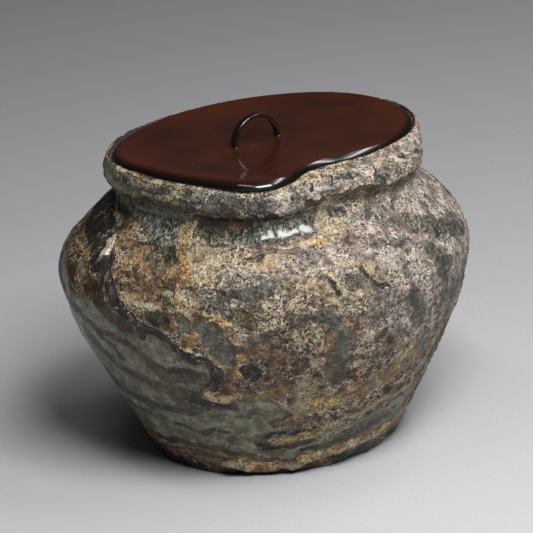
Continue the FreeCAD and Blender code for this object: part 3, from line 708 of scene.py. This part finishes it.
def roughen(skin):
    """Throwing marks, runs, crust and the worn rim and foot, in millimetres of relief."""
    points, amount = skin.points, skin.amount
    height = points[:, 2] / MM
    broad, lumpy, fine, curl, cluster = (
        fractal(points, size * MM, octaves, shift) for size, octaves, shift
        in (BROAD_NOISE, LUMP_NOISE, FINE_NOISE, CURL_NOISE, CLUSTER_NOISE))
    size, octaves, shift = STREAK_NOISE
    streaks = fractal(points * np.array(STREAK_STRETCH), size * MM, octaves, shift)
    rings = np.sin(height / THROWING_RING * tau + broad * RING_WAVER)
    rough = sum(share * amount[glaze] for glaze, share in ROUGH_SHARES.items())
    rough = np.maximum(rough, RIM_ROUGH * smooth_step(height, *RIM_HEIGHTS))
    relief = 0.35 * broad + 0.12 * rings + rough * (0.65 * lumpy + 0.55 * fine)
    relief += 0.55 * amount["blue"] * streaks + 0.2 * amount["olive"] * streaks
    relief += 0.25 * amount["cream"] + 0.15 * amount["ochre"]
    relief += 0.8 * lumpy * (1 - smooth_step(height, *FOOT_HEIGHTS))
    curled = np.clip(1 - np.abs(curl) / CURL_HALF, 0, 1)
    relief += 0.6 * curled * smooth_step(cluster, *CURL_GROUPS) * np.minimum(rough, 1.0)
    relief *= 1 - LEDGE_CALM * smooth_step(height, *LEDGE_HEIGHTS)
    azimuth = np.degrees(azimuth_of(points))
    relief += SWELL * fade(azimuth, *SWELL_AZIMUTH) * fade(height, *SWELL_HEIGHT)
    behind = fade(azimuth, *LOWERED_AZIMUTH)
    relief -= LOWERED * behind * smooth_step(height, *LOWERED_HEIGHTS)
    relief -= INSET + BELLY_INSET * fade(height, *BELLY)
    skin.relief += relief * MM * skin.outer


SMOOTH_ROUNDS = 60
SMOOTH_FROM = (2, 12)
SMOOTH_TO = (126, 138)
LEVEL_ROUNDS = 6


def settle(skin):
    """Smooth the wall along its rows, move it out by its relief and keep it in the box."""
    grid = np.full((skin.row.max() + 1, COLUMNS), -1)
    grid[skin.row, skin.column] = np.arange(len(skin.row))
    outer = grid[FIRST_OUTER:LAST_OUTER]
    wall = skin.points[outer]
    heights = wall[:, :, 2].mean(axis=1) / MM
    share = smooth_step(heights, *SMOOTH_FROM) * (1 - smooth_step(heights, *SMOOTH_TO))
    for _ in range(SMOOTH_ROUNDS):
        near = wall.copy()
        near[1:-1] = (wall[:-2] + wall[2:]) / 2
        wall += (near - wall) * 0.5 * share[:, None, None]
    points = skin.points.copy()
    points[outer] = wall
    points += skin.normals * skin.relief[:, None]
    low, high = (np.array(corner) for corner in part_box("jar_body"))
    points = np.clip(points, low, high)
    points[:, 2] = np.where(skin.row < FIRST_OUTER, 0.0, points[:, 2])
    skin.mesh.vertices.foreach_set("co", points.ravel())
    relief = skin.relief[outer]
    level = relief.copy()
    for _ in range(LEVEL_ROUNDS):
        level = (np.roll(level, 1, axis=1) + 2 * level + np.roll(level, -1, axis=1)) / 4
        level[1:-1] = (level[:-2] + 2 * level[1:-1] + level[2:]) / 4
    skin.hollowness = np.zeros(len(skin.row))
    skin.hollowness[outer] = (level - relief) / MM


def keep_amounts(skin):
    """Keep how much of each glaze lies at each vertex, and how hollow it is there."""
    for glaze, amount in skin.amount.items():
        keep(skin.mesh, glaze, amount)
    keep(skin.mesh, "hollowness", skin.hollowness)


GAP_SHADE_COVER = 1.2
POOL_HEIGHTS = (11, 24)


def glaze_inside(skin):
    """Bare clay under the foot, painted shade in the gap round the lid, thin glaze and a pool of
    glass inside.
    """
    # painted shade: the row under the lid's edge is made dark
    gap = (skin.row >= LAST_OUTER - 1) & (skin.row < LAST_OUTER)
    for amount in skin.amount.values():
        amount[gap] = 0.0
    skin.amount["dark"][gap] = GAP_SHADE_COVER
    bare = skin.row < FIRST_OUTER
    inside = skin.row >= LAST_OUTER
    for amount in skin.amount.values():
        amount[bare | inside] = 0.0
    skin.amount["clay"][bare] = 1.0
    pool = 1 - smooth_step(skin.points[:, 2] / MM, *POOL_HEIGHTS)
    skin.amount["umber"][inside] = (1 - pool)[inside]
    skin.amount["glass"][inside] = pool[inside]


skin = Skin(jar.data)
dress_jar(skin)
glaze_inside(skin)
step_at_slab(skin)
roughen(skin)
settle(skin)
keep_amounts(skin)

# Lacquered lid board

MOUTH = axis_at(SEAT)
LID_COLUMNS = 360
LID_BASE = 156.3 * MM
EDGE_HEIGHT = 158.2 * MM
STEP_HEIGHT = 153.8 * MM
DISH_LOW = 158.9 * MM
DISH_RADIUS = 2400 * MM
STEP_LOW = 152.3 * MM
BEVEL = 0.8 * MM
ROLL = 4.6 * MM
ROLL_DROP = 3.7 * MM
ROLL_POWER = 1.4
BORDER = 24.0 * MM
BORDER_RISE = 1.5 * MM
ROLL_STEPS = 12
BEVEL_MIDDLE = 0.3
OUTLINE_ROUNDS = 3
UNDER_SHARES = (0.0, 0.25, 0.5, 0.75, 0.9)
TOP_INSETS = (6, 7, 8.5, 10, 12, 14)
CENTRE_SHARES = (0.97, 0.93, 0.89, 0.85, 0.8, 0.75, 0.69, 0.62, 0.54, 0.46, 0.38, 0.3, 0.22, 0.14,
                 0.07, 0.0)


def outline(height):
    """The lid's outline at a height, smoothed, and its inward directions."""
    ring = []
    for column in range(LID_COLUMNS):
        out = outward(tau * column / LID_COLUMNS)
        ring.append(hit(lid_tree, Vector((MOUTH.x, MOUTH.y, height)) + out * FAR, -out))
    ring = np.array(ring)
    for _ in range(OUTLINE_ROUNDS):
        ring = (np.roll(ring, 1, axis=0) + 2 * ring + np.roll(ring, -1, axis=0)) / 4
    along = np.roll(ring, -1, axis=0) - np.roll(ring, 1, axis=0)
    inward = np.stack((-along[:, 1], along[:, 0], 0 * along[:, 0]), axis=1)
    return ring, inward / np.linalg.norm(inward, axis=1, keepdims=True)


def top_height(places, inset):
    """Height of the dished top with its raised border, this far in from the edge."""
    reach = (places[:, 0] - MOUTH.x) ** 2 + (places[:, 1] - MOUTH.y) ** 2
    border = np.clip(1 - inset / BORDER, 0, 1)
    roll = np.clip(1 - inset / ROLL, 0, 1)
    return (DISH_LOW + reach / (2 * DISH_RADIUS) + BORDER_RISE * border ** 2
            - ROLL_DROP * (1 - (1 - roll ** ROLL_POWER) ** (1 / ROLL_POWER)))


def make_lid():
    """The board from the middle of its step, out round its edge and over its dished top."""
    edge, edge_in = outline(EDGE_HEIGHT)
    step, step_in = outline(STEP_HEIGHT)
    middle = np.array(MOUTH)
    rows, insets = [], []

    def level(ring, height, inset=0.0):
        """One row of the board, at a height or at a height for each place."""
        row = ring.copy()
        row[:, 2] = height
        rows.append(row)
        insets.append(np.broadcast_to(inset, LID_COLUMNS))

    low = step + step_in * BEVEL
    for share in UNDER_SHARES:
        level(middle + (low - middle) * share, STEP_LOW)
    level(low, STEP_LOW)
    level(step + step_in * BEVEL * BEVEL_MIDDLE, STEP_LOW + BEVEL * BEVEL_MIDDLE)
    level(step, STEP_LOW + BEVEL)
    level(step, LID_BASE)
    level((step + edge) / 2, LID_BASE)
    level(edge + edge_in * BEVEL, LID_BASE)
    level(edge + edge_in * BEVEL * BEVEL_MIDDLE, LID_BASE + BEVEL * BEVEL_MIDDLE)
    level(edge, LID_BASE + BEVEL)
    for turn in np.linspace(0, pi / 2, ROLL_STEPS):
        inset = ROLL * (1 - cos(turn))
        ring = edge + edge_in * inset
        level(ring, top_height(ring, inset), inset)
    for inset in TOP_INSETS:
        ring = edge + edge_in * inset * MM
        level(ring, top_height(ring, inset * MM), inset * MM)
    inner = rows[-1]
    reach = np.linalg.norm(inner[:, :2] - middle[:2], axis=1)
    for share in CENTRE_SHARES:
        ring = middle + (inner - middle) * share
        inset = TOP_INSETS[-1] * MM + (1 - share) * reach
        level(ring, top_height(ring, inset), inset)
    board = placed("lacquered_lid", spun_rows(len(rows), LID_COLUMNS), np.array(rows))
    row, column = numbers_of(board.data, "row"), numbers_of(board.data, "column")
    keep(board.data, "inset", np.array(insets)[row, column] / MM)
    return board


# Bent loop

LOOP_MIDDLE = Vector((2.4, -7.1, 158.88)) * MM
LOOP_TURN = radians(33)
ARCH = 13.0 * MM
LEG = 0.7 * MM
STRIP_WIDE = 4.4 * MM
STRIP_THICK = 1.8 * MM
STRIP_SOFT = 0.6 * MM
ARCH_STEPS = 48
SOFT_STEPS = 4

# Each leg below the arch, with the lacquer round its foot: drop in millimetres and width
FOOT_LEVELS = ((0.2, 1.0), (0.35, 1.08), (0.5, 1.25), (0.62, 1.55), (0.72, 1.8), (3.6, 1.0))


def make_loop():
    """The strip bent over an arch, each foot set in a little lacquer, with its tenon below."""
    skin = bmesh.new()
    corners = [skin.verts.new((x * STRIP_THICK / 2 - ARCH, y * STRIP_WIDE / 2, LEG))
               for x, y in ((-1, -1), (1, -1), (1, 1), (-1, 1))]
    skin.faces.new(corners)
    bmesh.ops.bevel(skin, geom=list(skin.verts), affect="VERTICES", offset=STRIP_SOFT,
                    segments=SOFT_STEPS, profile=0.5, material=-1)
    first = skin.faces[:]
    swept = bmesh.ops.spin(skin, geom=skin.verts[:] + skin.edges[:] + first,
                           cent=(0, 0, LEG), axis=(0, 1, 0), angle=pi, steps=ARCH_STEPS)
    last = [item for item in swept["geom_last"] if isinstance(item, bmesh.types.BMFace)]
    for cap in (first, last):
        wide = 1.0
        for drop, grown in FOOT_LEVELS:
            made = bmesh.ops.extrude_face_region(skin, geom=cap)["geom"]
            bmesh.ops.delete(skin, geom=cap, context="FACES_ONLY")
            cap = [item for item in made if isinstance(item, bmesh.types.BMFace)]
            corners = [item for item in made if isinstance(item, bmesh.types.BMVert)]
            middle = sum((vertex.co for vertex in corners), Vector()) / len(corners)
            for vertex in corners:
                vertex.co.x = middle.x + (vertex.co.x - middle.x) * grown / wide
                vertex.co.y = middle.y + (vertex.co.y - middle.y) * grown / wide
                vertex.co.z = LEG - drop * MM
            wide = grown
    bmesh.ops.transform(skin, verts=skin.verts, matrix=Matrix.LocRotScale(
        LOOP_MIDDLE, Matrix.Rotation(LOOP_TURN, 3, "Z"), None))
    return finished("lacquered_loop", skin)


lid = make_lid()
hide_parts("lid_board")
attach(lid, "lid")

loop = make_loop()
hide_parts("lid_loop")
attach(loop, "lid")

# Materials

def tint(red, green, blue):
    """Linear colour of a tone that is given as it is seen, from 0 to 255."""
    seen = [part / 255 for part in (red, green, blue)]
    return tuple(part / 12.92 if part < 0.04045 else ((part + 0.055) / 1.055) ** 2.4
                 for part in seen) + (1.0,)


class Value:
    """A socket of a material; sums and products of values add Math nodes."""

    def __init__(self, finish, socket):
        self.finish, self.socket = finish, socket

    def __add__(self, other):
        return self.finish.math("ADD", self, other)

    def __sub__(self, other):
        return self.finish.math("SUBTRACT", self, other)

    def __rsub__(self, other):
        return self.finish.math("SUBTRACT", other, self)

    def __mul__(self, other):
        return self.finish.math("MULTIPLY", self, other)

    __radd__ = __add__
    __rmul__ = __mul__


class Finish:
    """A procedural material, put together from values and nodes."""

    def __init__(self, name):
        self.material = bpy.data.materials.new(name)
        self.material.use_nodes = True
        self.tree = self.material.node_tree
        self.shader = self.tree.nodes["Principled BSDF"]
        self.place = self.node("ShaderNodeTexCoord", output="Object")

    def node(self, kind, settings=None, sockets=None, output=0):
        """A node with its settings and sockets, as the value of one of its outputs."""
        made = self.tree.nodes.new(kind)
        for name, setting in (settings or {}).items():
            setattr(made, name, setting)
        for name, value in (sockets or {}).items():
            self.set(made.inputs[name], value)
        return Value(self, made.outputs[output])

    def set(self, socket, value):
        """Give a socket a value, or a link to one."""
        if isinstance(value, Value):
            self.tree.links.new(value.socket, socket)
        else:
            socket.default_value = value

    def math(self, operation, *values):
        """A Math node."""
        return self.node("ShaderNodeMath", {"operation": operation}, dict(enumerate(values)))

    def noise(self, size, detail=4.0, rough=0.55, at=None, output="Fac", warp=0.0):
        """Noise with features of about a size in millimetres."""
        return self.node("ShaderNodeTexNoise", None, {
            "Vector": at or self.place, "Scale": 1 / (size * MM), "Detail": detail,
            "Roughness": rough, "Distortion": warp}, output)

    def spots(self, gap, output="Distance"):
        """Distance to the nearest of scattered points, in shares of their spacing."""
        return self.node("ShaderNodeTexVoronoi", None, {
            "Vector": self.place, "Scale": 1 / (gap * MM)}, output)

    def ease(self, value, low, high, bottom=0.0, top=1.0):
        """A soft step from one number to another as a value rises."""
        return self.node("ShaderNodeMapRange", {"interpolation_type": "SMOOTHSTEP"}, {
            "Value": value, 1: low, 2: high, 3: bottom, 4: top})

    def ramp(self, value, *stops):
        """Colours along a value, each with its position."""
        colour = self.node("ShaderNodeValToRGB", None, {"Fac": value}, "Color")
        elements = colour.socket.node.color_ramp.elements
        while len(elements) < len(stops):
            elements.new(1.0)
        for element, (position, tone) in zip(elements, stops):
            element.position, element.color = position, tone
        return colour

    def mix(self, share, first, second, way="MIX"):
        """A colour between two colours, or another mixture of them."""
        return self.node("ShaderNodeMix", {"data_type": "RGBA", "blend_type": way},
                         {"Factor": share, 6: first, 7: second}, 2)

    def parts(self, colour):
        """The three parts of a colour or a vector."""
        made = self.node("ShaderNodeSeparateXYZ", None, {"Vector": colour})
        return [Value(self, socket) for socket in made.socket.node.outputs]

    def stretch(self, scale):
        """The place on the piece, stretched."""
        return self.node("ShaderNodeMapping", None, {"Vector": self.place, "Scale": scale})

    def laid(self, name):
        """How much of something lies here, from the piece's own attribute."""
        return self.node("ShaderNodeAttribute", {"attribute_name": name}, output="Fac")

    def finish(self, piece, **sockets):
        """Set the shader's sockets and put the material on a piece."""
        for name, value in sockets.items():
            self.set(self.shader.inputs[name.replace("_", " ")], value)
        piece.data.materials.clear()
        piece.data.materials.append(self.material)


# Features of the stoneware's finish: sizes and spacings in millimetres, how ragged the glazes'
# edges are, where their tones lie along the grain, and the tones of the marks, some of them
# painted glints and painted shade
PATCH, BLOTCH, SPECK, GRAIN, CURL, STREAK = 11.0, 5.0, 1.9, 0.9, 6.5, 1.4
PIT_GAP, PAINTED_GLINT_GAP, HOLE_GAP = 2.6, 6.0, 3.7
RAGGED = 2.4
TONE_STOPS = (0.3, 0.5, 0.72)
MARKS = {"peach": (255, 220, 196), "cool": (196, 208, 206), "fringe": (108, 80, 42),
         "pale_crest": (190, 173, 146), "ridge": (214, 200, 178), "crack_and_shade": (26, 20, 16),
         "hollow_shade": (34, 27, 21), "pit": (24, 19, 15), "hole": (36, 36, 20),
         "painted_glint": (220, 220, 206)}

def finish_jar():
    """Every glaze with its own grain, its edges broken up into specks, and the crust's marks,
    with painted glints and painted shade.
    """
    stone = Finish("ash_glazed_stoneware")
    patch = stone.parts(stone.noise(PATCH, 3.0, output="Color", warp=0.6))
    blotch = stone.parts(stone.noise(BLOTCH, 5.0, 0.6, output="Color"))
    speck = stone.parts(stone.noise(SPECK, 4.0, 0.6, output="Color"))
    grain = stone.noise(GRAIN, 2.0, 0.6)
    curl = stone.noise(CURL, 3.0, 0.5, warp=0.8)
    streak = stone.noise(STREAK, 3.0, 0.6, at=stone.stretch((1.0, 1.0, 0.3)))
    uneven = stone.ease(patch[1], 0.42, 0.6, 0.45, 1.5)
    colour = traits = strongest = None
    for index, (glaze, (*tones, rough, gloss, bump, soft, _)) in enumerate(GLAZES.items()):
        coarse, fine, wide = blotch[index % 3], speck[(index + 1) % 3], patch[(index + 2) % 3]
        if glaze == "blue":
            shade = 0.4 * fine + 1.6 * streak + 1.0 * coarse - 1.0
        else:
            small = (0.5 + 0.5 * bump) * (fine - 0.5) + (0.3 + 0.9 * bump) * (grain - 0.5)
            shade = 0.85 * (coarse + wide) + uneven * small - 0.35
        own = stone.ramp(shade, *zip(TONE_STOPS, (tint(*tone) for tone in tones)))
        ragged = RAGGED * (0.75 * blotch[(index + 2) % 3] + 0.25 * fine - 0.5)
        strength = stone.laid(glaze) + (0.2 + 0.8 * bump) * ragged
        trait = (rough, gloss, bump, 1.0)
        if colour is None:
            colour, traits, strongest = own, trait, strength
            continue
        lead = strength - strongest
        wins = stone.ease(lead, -soft, soft)
        colour = stone.mix(wins, colour, own)
        if glaze == "glass":
            fringe = 1 - stone.ease(stone.math("ABSOLUTE", lead), 0.05, 0.45)
            colour = stone.mix(0.6 * fringe, colour, tint(*MARKS["fringe"]))
        traits = stone.mix(wins, traits, trait)
        strongest = stone.math("MAXIMUM", strength, strongest)
    rough, gloss, bumpy = stone.parts(traits)
    smooth = 1 - bumpy
    cell = stone.parts(stone.spots(PIT_GAP, output="Color"))[0]
    pit = (1 - stone.ease(stone.spots(PIT_GAP), 0.19, 0.34)) * stone.ease(cell, 0.5, 0.55)
    broken = stone.ease(patch[1], 0.49, 0.56) * bumpy * stone.ease(speck[2], 0.44, 0.54)
    ridge = (1 - stone.ease(stone.math("ABSOLUTE", curl - 0.5), 0.01, 0.042)) * broken
    # dark line beside each curled ridge: partly a crack, partly painted shade that makes the
    # ridge look raised
    crack_and_shade = (1 - stone.ease(stone.math("ABSOLUTE", curl - 0.545), 0.005, 0.022)) * broken
    hollow = stone.laid("hollowness")
    for share, mark, way in (
        (stone.ease(patch[0], 0.48, 0.62, 0.0, 0.4) * bumpy, "peach", "MULTIPLY"),
        (stone.ease(patch[2], 0.5, 0.62, 0.0, 0.8) * bumpy, "cool", "MULTIPLY"),
        # paler on the crests of the relief
        (0.4 * stone.ease(0 - hollow, 0.1, 0.7) * bumpy, "pale_crest", "MIX"),
        (0.6 * ridge, "ridge", "MIX"),
        (0.75 * crack_and_shade, "crack_and_shade", "MIX"),
        # painted shade: darker in the hollows of the relief
        (0.7 * stone.ease(hollow, 0.05, 0.5), "hollow_shade", "MIX"),
        (pit * (0.35 + 0.5 * bumpy), "pit", "MIX"),
        (0.75 * (1 - stone.ease(stone.spots(HOLE_GAP), 0.1, 0.22)) * smooth, "hole", "MIX"),
        # painted glints: small pale spots on the smooth glazes
        (0.8 * (1 - stone.ease(stone.spots(PAINTED_GLINT_GAP), 0.05, 0.09)) * smooth, "painted_glint", "MIX"),
    ):
        colour = stone.mix(share, colour, tint(*MARKS[mark]), way)
    height = bumpy * (1.4 * blotch[0] + 1.6 * speck[1] + 0.9 * grain + 7.0 * streak * gloss)
    height = height + 0.3 * ridge - 0.3 * crack_and_shade - 0.25 * pit
    normal = stone.node("ShaderNodeBump", None, {
        "Strength": 1.0, "Distance": 1.0 * MM, "Height": height})
    stone.finish(jar, Base_Color=colour, Roughness=rough, Coat_Weight=gloss,
                 Coat_Roughness=0.18, Normal=normal)


def finish_lid():
    """Deep brown lacquer, redder where it is thin near the edge, with a painted dark reflection
    on the edge roll and a few specks of dust.
    """
    lacquer = Finish("dark_lacquer")
    cloud = lacquer.noise(30.0, 2.0)
    inset = lacquer.laid("inset")
    colour = lacquer.ramp(cloud, (0.3, tint(36, 13, 5)), (0.7, tint(58, 24, 9)))
    border = lacquer.ease(inset + 12.0 * cloud, 12.0, 24.0, 1.0, 0.0)
    colour = lacquer.mix(0.25 * border, colour, tint(74, 28, 10))
    # painted dark reflection: near-black on the edge roll
    colour = lacquer.mix(lacquer.ease(inset, 0.8, 5.0, 1.0, 0.0), colour, tint(10, 5, 3))
    dust = lacquer.ease(lacquer.spots(7.0), 0.03, 0.05)
    lacquer.finish(lid, Base_Color=lacquer.mix(1 - dust, colour, tint(120, 90, 70)),
                   Roughness=0.4, Specular_IOR_Level=0.1, Coat_Weight=1.0, Coat_Roughness=0.09)
    strip = Finish("dark_lacquer_strip")
    cloud = strip.noise(6.0, 2.0)
    colour = strip.ramp(cloud, (0.3, tint(12, 7, 5)), (0.7, tint(26, 12, 8)))
    strip.finish(loop, Base_Color=colour, Roughness=0.3, Specular_IOR_Level=0.3,
                 Coat_Weight=1.0, Coat_Roughness=0.04)


finish_jar()
finish_lid()

# Studio

FLOOR_TONE = (172, 172, 174)
SHEET_SIDE = 8.0
ROOM = (0.03, 0.03, 0.032, 1)

# Lights: name, place, aim, width and depth in metres, and watts
LIGHTS = (
    ("high_light", (0.25, -0.54, 0.84), (0.0, 0.0, 0.06), 0.48, 0.42, 14.1),
    ("left_light", (-0.25, -0.2, 1.2), (0.0, 0.0, 0.15), 0.55, 0.14, 1.4),
    ("right_light", (0.57, 0.1, 1.08), (0.0, 0.0, 0.15), 0.85, 0.1, 2.8),
    ("right_halo", (0.57, 0.1, 1.1), (0.0, 0.0, 0.15), 0.95, 0.3, 1.8),
)


def make_floor():
    """One pale sheet that the jar stands on."""
    bpy.ops.mesh.primitive_plane_add(size=SHEET_SIDE)
    floor = bpy.context.object
    floor.name = "pale_sheet"
    paper = Finish("pale_paper")
    cloud = paper.noise(2.0, 3.0)
    low, high = (tuple(part + shift for part in FLOOR_TONE) for shift in (-3, 3))
    paper.finish(floor, Base_Color=paper.ramp(cloud, (0.3, tint(*low)), (0.7, tint(*high))),
                 Roughness=0.9)


def add_softbox(name, place, aim, width, depth, watts):
    """A rectangular light that looks at a point."""
    data = bpy.data.lights.new(name, "AREA")
    data.shape, data.size, data.size_y = "RECTANGLE", width, depth
    data.energy = watts
    lamp = added(name, data)
    lamp.location = place
    lamp.rotation_euler = (Vector(aim) - Vector(place)).to_track_quat("-Z", "Y").to_euler()


def make_studio():
    """A large light high in front on the right, weak ones for the lid's edge, and a dim room."""
    make_floor()
    for light in LIGHTS:
        add_softbox(*light)
    world = bpy.data.worlds.new("studio")
    bpy.context.scene.world = world
    world.use_nodes = True
    world.node_tree.nodes["Background"].inputs["Color"].default_value = ROOM
    bpy.context.scene.view_settings.view_transform = "Standard"


make_studio()
